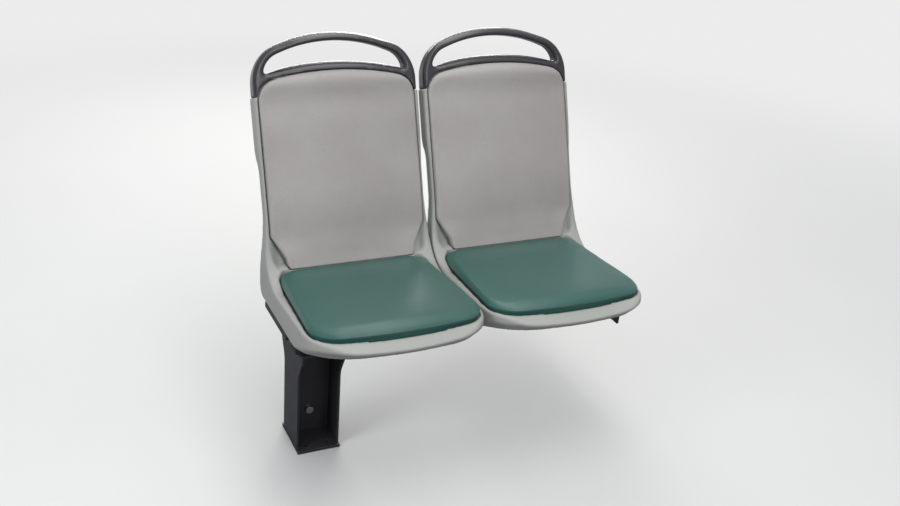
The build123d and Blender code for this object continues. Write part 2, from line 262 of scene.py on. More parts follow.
# %% Moulded grain
moulded_grain, inside, outside = new_group(
    "moulded_grain",
    [("Grain per metre", VALUE, 900.0), ("Waviness", VALUE, 0.3)],
    [("Height", VALUE), ("Shade", VALUE)],
)
fine = noise(moulded_grain, inside.outputs["Grain per metre"], 2.0).outputs["Fac"]
broad = noise(moulded_grain, 38.0, 1.0).outputs["Fac"]
wave = sums(moulded_grain, "MULTIPLY", broad, inside.outputs["Waviness"])
feed(outside, "Height", sums(moulded_grain, "ADD", fine, wave))
feed(outside, "Shade", fine)
print("grain nodes:", len(moulded_grain.nodes))

# %% [markdown]
# Seat vinyl is embossed with a leather grain: small rounded pebbles with creases between
# them. A picture of leather would repeat over the seat. A Voronoi texture measured to its
# cell edges gives pebbles without end, and a noise that shifts its coordinates keeps them
# from looking like a honeycomb.

# %% Leather grain
leather_grain, inside, outside = new_group(
    "leather_grain",
    [("Pebbles per metre", VALUE, 520.0), ("Unevenness", VALUE, 0.0012)],
    [("Height", VALUE), ("Crease", VALUE)],
)


def vectors(operation, first, second, socket=1):
    """One step of vector arithmetic in the leather group."""
    values = {0: first, socket: second}
    return add(leather_grain, "ShaderNodeVectorMath", values, operation=operation).outputs[0]


place = add(leather_grain, "ShaderNodeTexCoord").outputs["Object"]
stir = noise(leather_grain, 330.0, 1.0).outputs["Color"]
shift = vectors("SUBTRACT", stir, (0.5, 0.5, 0.5))
shift = vectors("SCALE", shift, inside.outputs["Unevenness"], "Scale")
cells = {"Vector": vectors("ADD", place, shift), "Scale": inside.outputs["Pebbles per metre"]}
pebble = add(leather_grain, "ShaderNodeTexVoronoi", cells, feature="DISTANCE_TO_EDGE")
rounded = sums(leather_grain, "MULTIPLY", pebble.outputs["Distance"], 3.2, clamp=True)
rounded = sums(leather_grain, "POWER", rounded, 0.6)
feed(outside, "Height", rounded)
feed(outside, "Crease", sums(leather_grain, "SUBTRACT", 1.0, rounded))
print("leather nodes:", len(leather_grain.nodes))

# %% [markdown]
# No moulded or coated surface is one even colour. This group moves a colour a little towards
# a second one in soft clouds, as ageing, hands and cleaning do. The clouds lie in the piece's
# own space, so nothing has to be unwrapped.

# %% Cloudy colour
cloudy_colour, inside, outside = new_group(
    "cloudy_colour",
    [
        ("Colour", COLOUR, (0.5, 0.5, 0.5, 1)),
        ("Aged colour", COLOUR, (0.4, 0.4, 0.4, 1)),
        ("Clouds per metre", VALUE, 7.0),
        ("Amount", VALUE, 0.5),
    ],
    [("Colour", COLOUR), ("Mask", VALUE)],
)
cloud = noise(cloudy_colour, inside.outputs["Clouds per metre"], 4.0, 0.6).outputs["Fac"]
mask = spread(cloudy_colour, cloud, 0.35, 0.68)
part = sums(cloudy_colour, "MULTIPLY", mask, inside.outputs["Amount"], clamp=True)
mottled = blend(cloudy_colour, part, inside.outputs["Colour"], inside.outputs["Aged colour"])
feed(outside, "Colour", mottled)
feed(outside, "Mask", mask)
print("cloud nodes:", len(cloudy_colour.nodes))

# %% [markdown]
# Edges are rubbed first. A Bevel node turns the surface normal near an edge, so where it
# differs from the true normal there is an edge. Noise breaks that line up, since real wear
# comes in patches. The same rounded normal also softens the edge's own highlight. On the
# steel the mask marks chips, which are wear. On the moulded plastics it paints the edges
# lighter, which is partly wear and partly a painted highlight along the rounded rims.

# %% Rubbed edges
worn_and_highlit_edges, inside, outside = new_group(
    "worn_and_highlit_edges",
    [("Edge radius", VALUE, 0.003), ("Wear", VALUE, 0.5)],
    [("Mask", VALUE), ("Normal", VECTOR)],
)
radius = {"Radius": inside.outputs["Edge radius"]}
rounding = add(worn_and_highlit_edges, "ShaderNodeBevel", radius, samples=8).outputs[0]
surface = add(worn_and_highlit_edges, "ShaderNodeNewGeometry").outputs["Normal"]
normals = {0: rounding, 1: surface}
agreement = add(worn_and_highlit_edges, "ShaderNodeVectorMath", normals, operation="DOT_PRODUCT")
edge = spread(worn_and_highlit_edges, agreement.outputs["Value"], 0.995, 0.86)
patches = noise(worn_and_highlit_edges, 26.0, 5.0, 0.7).outputs["Fac"]
# This mask gives the steel its chips, which are wear, and gives the plastics lighter edges, which
# are partly a painted highlight.
worn_and_highlit = sums(worn_and_highlit_edges, "MULTIPLY", edge, spread(worn_and_highlit_edges, patches, 0.42, 0.62))
worn_and_highlit = sums(worn_and_highlit_edges, "MULTIPLY", worn_and_highlit, inside.outputs["Wear"], clamp=True)
feed(outside, "Mask", worn_and_highlit)
feed(outside, "Normal", rounding)
print("shared groups:", [group.name for group in bpy.data.node_groups])

# %% [markdown]
# ## Finishes
#
# Every finish starts from one Principled shader and gets its colour, roughness and relief
# from the groups above. Colours are read from the photograph and written as the surface's
# own colour, so that they hold under any light. A value that is the same all over a surface
# is set on the shader's own socket. Finishes are kept by name for the pieces.

# %% Start a finish
def srgb(red, green, blue):
    """Shader colour of a colour as a screen shows it, 0 to 255."""
    shares = [value / 255 for value in (red, green, blue)]
    return (*(s / 12.92 if s <= 0.04 else ((s + 0.055) / 1.055) ** 2.4 for s in shares), 1)


finishes = {}


def new_finish(name, **constants):
    """Material with a Principled shader whose constant values are set on its own sockets."""
    finish = finishes[name] = bpy.data.materials.new(name)
    finish.use_nodes = True
    shader = finish.node_tree.nodes["Principled BSDF"]
    for label, value in constants.items():
        feed(shader, label.replace("_", " ").title().replace("Ior", "IOR"), value)
    return finish.node_tree, shader


def place_group(tree, group, **values):
    """Shared effect placed in a material with its own values."""
    made = add(tree, "ShaderNodeGroup", node_tree=group)
    for label, value in values.items():
        feed(made, label.replace("_", " ").capitalize(), value)
    return made.outputs


def cut_relief(tree, shader, strength, depth, height, normal=None):
    """Bump node that cuts a height into the surface."""
    values = {"Strength": strength, "Distance": depth, "Height": height}
    if normal:
        values["Normal"] = normal
    feed(shader, "Normal", add(tree, "ShaderNodeBump", values).outputs[0])


print("mid grey in the shader:", round(srgb(128, 128, 128)[0], 3))

# %% [markdown]
# The shells are thick moulded plastic in a warm light grey with a matt spark-eroded grain.
# Years of legs and cleaning cloths leave the rims smoother than the faces. The handle is the
# same kind of moulding in charcoal, polished by hands, which a thin coat layer gives. On all
# the moulded plastics the edges are painted a lighter colour: partly rubbed wear and partly a
# painted highlight, where light catches the rounded rims and the handle's bow.

# %% Moulded plastics
def moulded_plastic(name, colour, aged, rubbed_and_highlit, rough, grain, cut, edge, wear=0.5, coat=0.0):
    """Grained plastic whose edges are smoother and painted lighter: partly wear, partly painted
    highlight.
    """
    constants = {"specular_ior_level": 0.42, "coat_weight": coat, "coat_roughness": 0.2}
    tree, shader = new_finish(name, **constants)
    shades = {"colour": srgb(*colour), "aged_colour": srgb(*aged)}
    clouds = place_group(tree, cloudy_colour, **shades, clouds_per_metre=6.0, amount=0.55)
    edges = place_group(tree, worn_and_highlit_edges, edge_radius=edge, wear=wear)
    relief = place_group(tree, moulded_grain, grain_per_metre=grain)
    # Lighter edge colour: partly rubbed wear and partly a painted highlight.
    feed(shader, "Base Color", blend(tree, edges["Mask"], clouds["Colour"], srgb(*rubbed_and_highlit)))
    matt = vary(tree, relief["Shade"], rough - 0.06, rough + 0.06)
    polish = sums(tree, "MULTIPLY", edges["Mask"], 0.16)
    feed(shader, "Roughness", sums(tree, "SUBTRACT", matt, polish))
    cut_relief(tree, shader, cut, 0.0004, relief["Height"], edges["Normal"])


# The third colour of each is its lighter edge colour: partly wear and partly painted highlight.
moulded_plastic(
    "shell_plastic", (165, 166, 161), (155, 154, 149), (190, 190, 186),
    rough=0.46, grain=1100.0, cut=0.22, edge=0.004,
)
moulded_plastic(
    "cover_plastic", (174, 174, 168), (162, 160, 154), (190, 189, 184),
    rough=0.54, grain=800.0, cut=0.35, edge=0.002, wear=0.4,
)
moulded_plastic(
    "handle_plastic", (52, 48, 53), (43, 40, 44), (70, 66, 71),
    rough=0.34, grain=1300.0, cut=0.16, edge=0.003, coat=0.45,
)
moulded_plastic(
    "plug_plastic", (34, 34, 35), (46, 45, 44), (62, 62, 62),
    rough=0.6, grain=1000.0, cut=0.3, edge=0.0012,
)
print("plastics:", list(finishes))

# %% [markdown]
# Both padded skins are embossed vinyl over foam. The creases of the grain are darker, and
# their pebbles are polished by clothes, so they shine more. A weak sheen at glancing angles
# comes from the soft top coat, and the cushion, which is polished most, has a coat layer too.

# %% Vinyls
def seat_vinyl(name, colour, aged, crease, rough, amount, coat=0.0):
    """Embossed seat cover."""
    constants = {"specular_ior_level": 0.4, "sheen_weight": 0.08, "sheen_roughness": 0.4}
    constants |= {"coat_weight": coat, "coat_roughness": 0.32}
    tree, shader = new_finish(name, **constants)
    shades = {"colour": srgb(*colour), "aged_colour": srgb(*aged)}
    clouds = place_group(tree, cloudy_colour, **shades, clouds_per_metre=5.0, amount=amount)
    relief = place_group(tree, leather_grain)
    # The grain's creases are blended towards a darker colour.
    crease_darkening = sums(tree, "MULTIPLY", relief["Crease"], 0.5)
    feed(shader, "Base Color", blend(tree, crease_darkening, clouds["Colour"], srgb(*crease)))
    polish = vary(tree, clouds["Mask"], -0.05, 0.05)
    matt = vary(tree, relief["Crease"], rough, rough + 0.2)
    feed(shader, "Roughness", sums(tree, "ADD", matt, polish))
    cut_relief(tree, shader, 0.35, 0.0003, relief["Height"])


seat_vinyl(
    "pad_vinyl", (178, 174, 170), (164, 158, 156), (138, 132, 129), rough=0.42, amount=0.7
)
seat_vinyl(
    "cushion_vinyl", (49, 98, 90), (42, 89, 83), (25, 62, 55), rough=0.27, amount=0.6, coat=0.4
)
print("with vinyls:", len(finishes))

# %% [markdown]
# The frame is powder-coated steel: satin black with the slight orange peel of a baked
# coating, chipped to bare grey metal in places along its edges. Metallic follows the chips,
# because bare steel is a metal and the coating isn't.

# %% Powder-coated steel
tree, shader = new_finish("black_steel", specular_ior_level=0.5)
shades = {"colour": srgb(38, 38, 41), "aged_colour": srgb(54, 53, 53)}
clouds = place_group(tree, cloudy_colour, **shades, clouds_per_metre=9.0, amount=0.6)
edges = place_group(tree, worn_and_highlit_edges, edge_radius=0.0016, wear=0.75)
peel = place_group(tree, moulded_grain, grain_per_metre=420.0, waviness=0.2)
feed(shader, "Base Color", blend(tree, edges["Mask"], clouds["Colour"], srgb(118, 116, 114)))
feed(shader, "Metallic", sums(tree, "MULTIPLY", edges["Mask"], 0.8))
feed(shader, "Roughness", vary(tree, clouds["Mask"], 0.34, 0.46))
cut_relief(tree, shader, 0.22, 0.0004, peel["Height"], edges["Normal"])
print("steel nodes:", len(tree.nodes))

# %% [markdown]
# Bolts and screws are zinc plated. Plating is a bright metal with cloudy spots where it has
# dulled, so both colour and roughness follow small clouds.

# %% Zinc plate
tree, shader = new_finish("zinc", metallic=1.0)
shades = {"colour": srgb(196, 198, 200), "aged_colour": srgb(158, 158, 154)}
clouds = place_group(tree, cloudy_colour, **shades, clouds_per_metre=120.0, amount=0.7)
edges = place_group(tree, worn_and_highlit_edges, edge_radius=0.0008, wear=0.3)
feed(shader, "Base Color", clouds["Colour"])
feed(shader, "Roughness", vary(tree, clouds["Mask"], 0.24, 0.42))
feed(shader, "Normal", edges["Normal"])
print("zinc nodes:", len(tree.nodes))

# %% [markdown]
# The floor looks pale, but a pale floor would throw much light up under the seat. So it is
# pale for the camera alone and mid grey for the rays that light the seat. Far from the seat
# it fades to the sky's own near white, so that no horizon line crosses the picture, and near
# the seat it stays a plain surface that takes the shadow.

# %% Floor finish
tree, shader = new_finish("studio_floor", roughness=0.75, specular_ior_level=0.2)
shades = {"colour": srgb(214, 214, 212), "aged_colour": srgb(210, 210, 208)}
tone = place_group(tree, cloudy_colour, **shades, clouds_per_metre=1.5, amount=0.5)
rays = add(tree, "ShaderNodeLightPath")
camera_ray, glossy_ray = rays.outputs["Is Camera Ray"], rays.outputs["Is Glossy Ray"]
feed(shader, "Base Color", blend(tree, camera_ray, srgb(122, 122, 126), tone["Colour"]))

seat_middle = (0.36, -0.1, 0)
spot = add(tree, "ShaderNodeNewGeometry").outputs["Position"]
ends = {0: spot, 1: seat_middle}
reach = add(tree, "ShaderNodeVectorMath", ends, operation="DISTANCE").outputs["Value"]
values = {"Value": reach, "From Min": 0.9, "From Max": 4.6}
far = add(tree, "ShaderNodeMapRange", values, interpolation_type="SMOOTHSTEP").outputs[0]
far = sums(tree, "MULTIPLY", far, sums(tree, "MAXIMUM", camera_ray, glossy_ray))
pale = add(tree, "ShaderNodeEmission", {"Color": near_white})
whole = add(tree, "ShaderNodeMixShader", {0: far, 1: shader.outputs[0], 2: pale.outputs[0]})
feed(tree.nodes["Material Output"], "Surface", whole.outputs[0])
floor.data.materials.append(finishes["studio_floor"])
print("finishes:", list(finishes))

# %% [markdown]
# ## Padded skins
#
# A foam pad looks like a pad because its cover is pulled tight over it: the face is crowned,
# and the border rolls over and drops into the groove of the shell as a low wall. Modelling
# that by hand is slow, so the cover is a cloth: the solid is copied, remeshed evenly and blown
# up gently by cloth pressure, while the part in its pocket stays put. The real covers have no
# wrinkle, so only the smooth part of that swelling is kept, and the roll is pressed in later.

# %% Copy a solid as a piece of its own
def copy_of(node, name):
    """Closed copy of a solid's mesh, with its points merged."""
    mesh = frame["nodes"][node].data.copy()
    mesh.name = name
    work = bmesh.new()
    work.from_mesh(mesh)
    bmesh.ops.remove_doubles(work, verts=work.verts, dist=1e-5)
    work.to_mesh(mesh)
    work.free()
    mesh.materials.clear()
    return new_object(name, mesh)


def settle(piece):
    """Turn a piece's modifiers into plain mesh."""
    depsgraph = bpy.context.evaluated_depsgraph_get()
    mesh = bpy.data.meshes.new_from_object(piece.evaluated_get(depsgraph))
    piece.modifiers.clear()
    piece.data = mesh
    mesh.name = piece.name


def remesh(piece, size):
    """Even quads of a size over the whole piece."""
    even = piece.modifiers.new("even", "REMESH")
    even.mode = "VOXEL"
    even.voxel_size = size
    settle(piece)


def points_of(piece):
    """Points of a piece's mesh as one array."""
    flat = np.empty(len(piece.data.vertices) * 3, np.float32)
    piece.data.vertices.foreach_get("co", flat)
    return flat.reshape(-1, 3).astype(float)


def set_points(piece, points):
    """Write changed points back."""
    piece.data.vertices.foreach_set("co", points.astype(np.float32).ravel())
    piece.data.update()


print("points of the plain back pad:", len(points_of(frame["nodes"]["back_pad_aisle"])))

# %% [markdown]
# Back and pan lie at a slant, so their pieces are measured along a plane of their own:
# across, along and in depth. A form is then a few sums of those three numbers.

# %% Lay a plane along back and pan
recline, pan_rise = radians(19.5), radians(3)
across_both = (1.0, 0.0, 0.0)
up_back, out_of_back = (0, sin(recline), cos(recline)), (0, -cos(recline), sin(recline))
along_pan, out_of_pan = (0, -cos(pan_rise), sin(pan_rise)), (0, sin(pan_rise), cos(pan_rise))


def middle_of(node):
    """Middle of a solid's box from side to side."""
    low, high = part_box(node)
    return (low.x + high.x) / 2


aisle_x, window_x = middle_of("seat_shell_aisle"), middle_of("seat_shell_window")
back_plane = (np.array((across_both, up_back, out_of_back)), np.array((aisle_x, 0.100, 0.430)))
pan_plane = (np.array((across_both, along_pan, out_of_pan)), np.array((aisle_x, 0.100, 0.404)))


def into_plane(points, plane):
    """Points as across, along and depth of a plane."""
    axes, start = plane
    return (points - start) @ axes.T


def out_of_plane(local, plane):
    """Points of a plane as points of the room."""
    axes, start = plane
    return local @ axes + start


print("places at x", round(aisle_x, 4), round(window_x, 4))

# %% [markdown]
# Rolling a border needs to know how far each point is from it. The rear face of each solid is
# its outline, so those points, sorted around their middle, give the border as a polygon.

# %% Measure a border
def outline_of(piece, plane):
    """Border of a solid's rear face, seen along its own depth."""
    local = into_plane(points_of(piece), plane)
    rear = local[local[:, 2] < local[:, 2].min() + 0.0004][:, :2]
    middle = rear.mean(0)
    order = np.argsort(np.arctan2(rear[:, 1] - middle[1], rear[:, 0] - middle[0]))
    return rear[order]


def border_distance(flat, border):
    """Distance of flat points from the border polygon, and the way inward there."""
    nearest = np.full(len(flat), 9.0)
    inward = np.zeros((len(flat), 2))
    middle = border.mean(0)
    for first, second in zip(border, np.roll(border, -1, axis=0)):
        run = second - first
        length = max(run @ run, 1e-12)
        share = np.clip(((flat - first) @ run) / length, 0, 1)
        gap = np.linalg.norm(flat - first - share[:, None] * run, axis=1)
        across = np.array((-run[1], run[0])) / length**0.5
        across *= np.sign(across @ (middle - first))
        nearer = gap < nearest
        nearest[nearer] = gap[nearer]
        inward[nearer] = across
    return nearest, inward


print("back pad's border:", len(outline_of(frame["nodes"]["back_pad_aisle"], back_plane)), "points")

# %% [markdown]
# No form in a cover or a moulding starts with a step. So every form here fades in and out by
# one soft curve, and motion that is read from a cloth is shared between neighbouring points.

# %% Soft steps
def smooth_step(value, low, high):
    """0 below low, 1 above high, and soft in between."""
    share = np.clip((value - low) / (high - low), 0, 1)
    return share * share * (3 - 2 * share)


def fade(value, low, high):
    """1 below low, 0 above high, and soft in between."""
    return 1 - smooth_step(value, low, high)


def shared_with_neighbours(mesh, values, rounds):
    """Values of the points, each averaged with its neighbours again and again."""
    flat = np.empty(len(mesh.edges) * 2, np.int32)
    mesh.edges.foreach_get("vertices", flat)
    first, second = flat[0::2], flat[1::2]
    count = np.bincount(flat, minlength=len(values))
    for _ in range(rounds):
        total = np.bincount(first, values[second], len(values))
        total += np.bincount(second, values[first], len(values))
        values = 0.5 * values + 0.5 * total / np.maximum(count, 1)
    return values


def hill(value, middle, reach):
    """Soft bump of height 1 around a middle."""
    return np.exp(-(((value - middle) / reach) ** 2))


print("a soft step at a quarter, half and three quarters:", smooth_step(np.array((1, 2, 3)), 0, 4))

# %% [markdown]
# Foam swells most in the middle. Neighbouring points share their motion a few dozen times,
# which takes out the wrinkles of the cloth and leaves its swelling, and only the part of it
# along the pad's depth is used, so the border stays in its groove.

# %% Swell a pad as cloth
def swell(piece, plane, pocket=0.0015, most=0.005, steps=20, rounds=60):
    """Blow a pad up as cloth under pressure, and keep the smooth rise of its face."""
    axes, start = plane
    before = points_of(piece)
    depth = (before - start) @ axes[2]
    seated = piece.vertex_groups.new(name="seated")
    seated.add([int(i) for i in np.nonzero(depth < pocket)[0]], 1.0, "REPLACE")
    cloth = piece.modifiers.new("cover", "CLOTH")
    cloth.settings.vertex_group_mass = "seated"
    cloth.settings.use_pressure = True
    cloth.settings.uniform_pressure_force = 4
    cloth.settings.quality = 4
    cloth.settings.tension_stiffness = 30
    cloth.settings.effector_weights.gravity = 0
    cloth.point_cache.frame_start = 1
    cloth.point_cache.frame_end = steps
    for step in range(1, steps + 1):
        scene.frame_set(step)
    depsgraph = bpy.context.evaluated_depsgraph_get()
    after = points_of(piece.evaluated_get(depsgraph))
    piece.modifiers.clear()
    piece.vertex_groups.clear()
    rise = np.clip((after - before) @ axes[2], 0, most) * (depth > pocket)
    rise = shared_with_neighbours(piece.data, rise, rounds)
    set_points(piece, before + rise[:, None] * axes[2])
    scene.frame_set(1)
    print(piece.name, "swells by", round(rise.max() * 1000, 1), "mm")


# %% [markdown]
# The roll is a quarter round that stands on a low wall. Along the sides it is narrow. It is
# wide where the photograph shows a soft lighter band: along the top of the back pad and along
# the front of the cushion. Where pad and cushion meet there is hardly any, so that they touch.
# The wall's foot is drawn in, which leaves the dark line that the groove shows all around. No
# bevel changes its width like this along a border, so the points are moved in code.

# %% Press the roll into a face
def press_roll(piece, plane, border, wall, width, pinch):
    """Lower the face to a wall at its border, and draw the wall's foot inward."""
    local = into_plane(points_of(piece), plane)
    gap, inward = border_distance(local[:, :2], border)
    share = np.clip(gap / width(local), 0, 1)
    lift = np.sqrt(1 - (1 - share) ** 2)
    low = wall(local)
    face = local[:, 2] > low
    local[face, 2] = low[face] + (local[face, 2] - low[face]) * lift[face]
    foot = fade(local[:, 2], 0.0, low) * fade(gap, 0.001, 0.009)
    local[:, :2] += inward * (pinch * foot)[:, None]
    set_points(piece, out_of_plane(local, plane))


def add_height(piece, plane, height):
    """Raise or lower the face of a pad by a soft field over it."""
    local = into_plane(points_of(piece), plane)
    share = smooth_step(local[:, 2], 0.0, 0.004)
    local[:, 2] += height(local) * share
    set_points(piece, out_of_plane(local, plane))


# %% [markdown]
# Both pads are made in the same steps, from the solid to a swollen mesh that is subdivided
# once, so that the roll has points enough. Where that is denser than needed, triangles are
# taken out again.

# %% Make a pad from its solid
pad_grid = 0.005


def refine(piece):
    """Subdivide once, and shade smooth."""
    finer = piece.modifiers.new("finer", "SUBSURF")
    finer.levels = finer.render_levels = 1
    settle(piece)
    piece.data.shade_smooth()


def thin_out(piece, share):
    """Fewer triangles, with the same shape."""
    fewer = piece.modifiers.new("fewer", "DECIMATE")
    fewer.ratio = share
    settle(piece)
    piece.data.shade_smooth()


def swollen_pad(node, name, plane):
    """Fine swollen mesh of a pad's solid, and the border of the solid."""
    piece = copy_of(node, name)
    border = outline_of(piece, plane)
    remesh(piece, pad_grid)
    swell(piece, plane)
    refine(piece)
    return piece, border


print("pads start from a grid of", pad_grid, "m")

# %% [markdown]
# A piece gets its finish and hangs under the root body, and any solid it stands for is
# hidden. The window place gets copies of the aisle place's pieces. Its pads are mirrored, so
# that the two don't look stamped.

# %% Copy and dress a piece
def moved_copy(piece, name, move):
    """Copy of a piece, moved by a matrix."""
    mesh = piece.data.copy()
    mesh.transform(move)
    return new_object(name, mesh)


def mirrored_to_window(piece, name):
    """The window place's own copy, mirrored."""
    mirror = Matrix.Translation((window_x, 0, 0)) @ Matrix.Scale(-1, 4, (1, 0, 0))
    made = moved_copy(piece, name, mirror @ Matrix.Translation((-aisle_x, 0, 0)))
    made.data.flip_normals()
    return made


def shifted_to_window(piece, name):
    """The window place's own copy of a moulded piece."""
    return moved_copy(piece, name, Matrix.Translation((window_x - aisle_x, 0, 0)))


def dress(piece, slot, *nodes):
    """Give a piece its finish, hang it under the root body and hide the solids it stands for."""
    piece.data.materials.clear()
    piece.data.materials.append(finishes[slot])
    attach(piece, "root")
    if nodes:
        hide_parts(*nodes)
    triangles = sum(len(face.vertices) - 2 for face in piece.data.polygons)
    print(piece.name, "has", triangles, "triangles")


print("from place to place:", round(window_x - aisle_x, 4), "m")

# %% [markdown]
# The back pad has a slight brow under its top edge, a hollow below it and a lumbar swelling
# lower down. Its foot is level from side to side, because there it meets the cushion, whose
# rear edge is level too. Each form is one soft hill in metres up the back, so it can be
# moved or flattened on its own.

# %% Make the back pads
def back_form(local):
    """Brow, hollow and lumbar swelling of the back pad, and its level foot."""
    x, up, depth = local.T
    brow = 0.005 * hill(up, 0.457, 0.026)
    hollow = 0.003 * hill(up, 0.405, 0.035)
    lumbar = 0.006 * hill(up, 0.18, 0.08)
    waist = 0.004 * hill(up, 0.075, 0.04) * (1 - 0.6 * (x / 0.18) ** 2)
    form = (brow - hollow) + (lumbar - waist)
    foot_height = 0.0125
    level = fade(up, 0.02, 0.09)
    return form * (1 - level) + (foot_height - depth) * level


def back_roll(local):
    """Width of the back pad's roll: wide along the top, narrow at the sides and the foot."""
    up = local[:, 1]
    sides, added_on_top, less_at_foot = 0.009, 0.013, 0.006
    wide = sides + added_on_top * smooth_step(up, 0.36, 0.45)
    return wide - less_at_foot * fade(up, 0.012, 0.03)


def back_wall(local):
    """Height of the low wall around the back pad, which is higher at the foot."""
    around, added_at_foot = 0.0022, 0.006
    return around + added_at_foot * fade(local[:, 1], 0.02, 0.085)


back_pad, border = swollen_pad("back_pad_aisle", "padded_back_aisle", back_plane)
add_height(back_pad, back_plane, back_form)
press_roll(back_pad, back_plane, border, back_wall, back_roll, pinch=0.0015)
thin_out(back_pad, 0.7)
back_pad_2 = mirrored_to_window(back_pad, "padded_back_window")
dress(back_pad, "pad_vinyl", "back_pad_aisle")
dress(back_pad_2, "pad_vinyl", "back_pad_window")

# %% [markdown]
# The cushion stands higher in its groove than the back pad does: a wall of about 8 mm at the
# sides and 10 mm at the front, where the groove's rim already slopes away. Its rear edge is
# kept level, to meet the foot of the back pad.

# %% Make the cushions
def seat_form(local):
    """Level rear edge of the cushion, and a faint dip where people sit."""
    x, forward, height = local.T
    rear_height = 0.031
    level = fade(forward, 0.015, 0.11) * fade(np.abs(x), 0.145, 0.185)
    dip = -0.002 * hill(forward, 0.2, 0.09) * hill(x, 0, 0.12)
    return dip + (rear_height - height) * level


def seat_roll(local):
    """Width of the cushion's roll: wide along the front, narrow at the sides and the rear."""
    forward = local[:, 1]
    sides, added_in_front, less_at_rear = 0.010, 0.028, 0.006
    wide = sides + added_in_front * smooth_step(forward, 0.27, 0.36)
    return wide - less_at_rear * fade(forward, 0.015, 0.03)


def seat_wall(local):
    """Height of the low wall around the cushion, which is highest at the rear."""
    forward = local[:, 1]
    around, added_in_front, added_at_rear = 0.0075, 0.0025, 0.018
    rear = fade(forward, 0.012, 0.05) * fade(np.abs(local[:, 0]), 0.14, 0.178)
    return around + added_in_front * smooth_step(forward, 0.28, 0.36) + added_at_rear * rear


cushion, border = swollen_pad("seat_cushion_aisle", "padded_seat_aisle", pan_plane)
add_height(cushion, pan_plane, seat_form)
press_roll(cushion, pan_plane, border, seat_wall, seat_roll, pinch=0.0032)
cushion_2 = mirrored_to_window(cushion, "padded_seat_window")
dress(cushion, "cushion_vinyl", "seat_cushion_aisle")
dress(cushion_2, "cushion_vinyl", "seat_cushion_window")

# %% [markdown]
# ## Moulded pieces
#
# Shells and handles come out of a mould, so no edge on them is sharp. The solids carry small
# flat chamfers there. A copy of each is remeshed finely and smoothed, which turns the
# chamfers into soft rounds, with the form left as it is. A bevel would need clean edges.

# %% Soften the moulded edges
def soften(piece, size, passes):
    """Even mesh whose edges are rounded by smoothing."""
    remesh(piece, size)
    relax = piece.modifiers.new("relax", "SMOOTH")
    relax.factor = 0.5
    relax.iterations = passes
    settle(piece)


mould_grid = 0.0026
handle = copy_of("grab_handle_aisle", "moulded_handle_aisle")
soften(handle, mould_grid, passes=10)
print("handle has", len(handle.data.vertices), "points")

# %% [markdown]
# Two forms of the real handle are finer than the solid's. Its strip keeps its height towards
# the ends of the grip, and both bow and strip lean back, so that they catch the light from
# above and only a thin line underneath stays dark. Heights are measured up the back, and each
# edge of strip, grip opening and bow is a shallow curve that falls towards the sides.

# %% Shape the handle
strip_lean, bow_lean, strip_lift = 0.012, 0.016, 0.004


def shape_handle(piece):
    """Raise the strip's ends, and lean the front of bow and strip back."""
    local = into_plane(points_of(piece), back_plane)
    across, up, depth = np.abs(local[:, 0]), local[:, 1], local[:, 2]
    strip_foot = 0.4835 - across**2 / 1.604
    strip_top = 0.505 - 0.031 * (across / 0.183) ** 2
    grip_top = 0.555 - across**2 / 0.766
    bow_top = 0.577 - across**2 / 0.792
    strip_share = np.clip((up - strip_foot) / (strip_top - strip_foot), 0, 1)
    bow_share = np.clip((up - grip_top) / (bow_top - grip_top), 0, 1)
    on_strip = up < (strip_top + grip_top) / 2
    lean_back = np.where(on_strip, strip_lean * strip_share**2, bow_lean * bow_share**2)
    local[:, 2] -= smooth_step(depth, -0.028, 0.0) * fade(across, 0.12, 0.19) * lean_back
    ends = smooth_step(across, 0.02, 0.15) * fade(across, 0.17, 0.2)
    raised = strip_share * fade(up, strip_top + 0.008, strip_top + 0.032)
    local[:, 1] += strip_lift * ends * raised
    set_points(piece, out_of_plane(local, back_plane))


shape_handle(handle)
handle.data.shade_smooth()
handle_2 = shifted_to_window(handle, "moulded_handle_window")
dress(handle, "handle_plastic", "grab_handle_aisle")
dress(handle_2, "handle_plastic", "grab_handle_window")

# %% [markdown]
# Beside the hips the real shell is dished. Its outer edge runs on as a ridge in one wide bend,
# while the face inside it goes down to a tight corner between back and pan, and so lies in
# half shadow. The solid has the wide bend all across. Depth is measured from that bend, and
# the face is pressed towards the corner, less and less towards the ridge.

# %% Press the hip wings in
hip_bend, pan_drop = 0.110, 0.026
pan_fall = pan_drop * cos(pan_rise)
down_back = np.array((cos(recline), -sin(recline)))
down_pan = np.array((-sin(pan_rise), -cos(pan_rise)))
bend_centre = np.linalg.solve((down_back, down_pan), (-hip_bend, -hip_bend - pan_fall))
back_way, pan_way = np.array(up_back[1:]), np.array(along_pan[1:])


def rim_depth(side):
    """Side view points' depth under the rim, way down, and how far the corner lies below."""
    arm = side - bend_centre
    length = np.maximum(np.linalg.norm(arm, axis=1), 1e-9)
    depth = length - hip_bend
    way = arm / length[:, None]
    facing = np.maximum(np.maximum(way @ down_back, way @ down_pan), 0.5)
    corner = hip_bend / facing - hip_bend
    on_back = arm @ back_way > 0
    on_pan = arm @ pan_way > 0
    depth[on_back] = side[on_back] @ down_back
    depth[on_pan] = side[on_pan] @ down_pan - pan_fall
    way[on_back] = down_back
    way[on_pan] = down_pan
    corner[on_back | on_pan] = 0
    return depth, way, corner


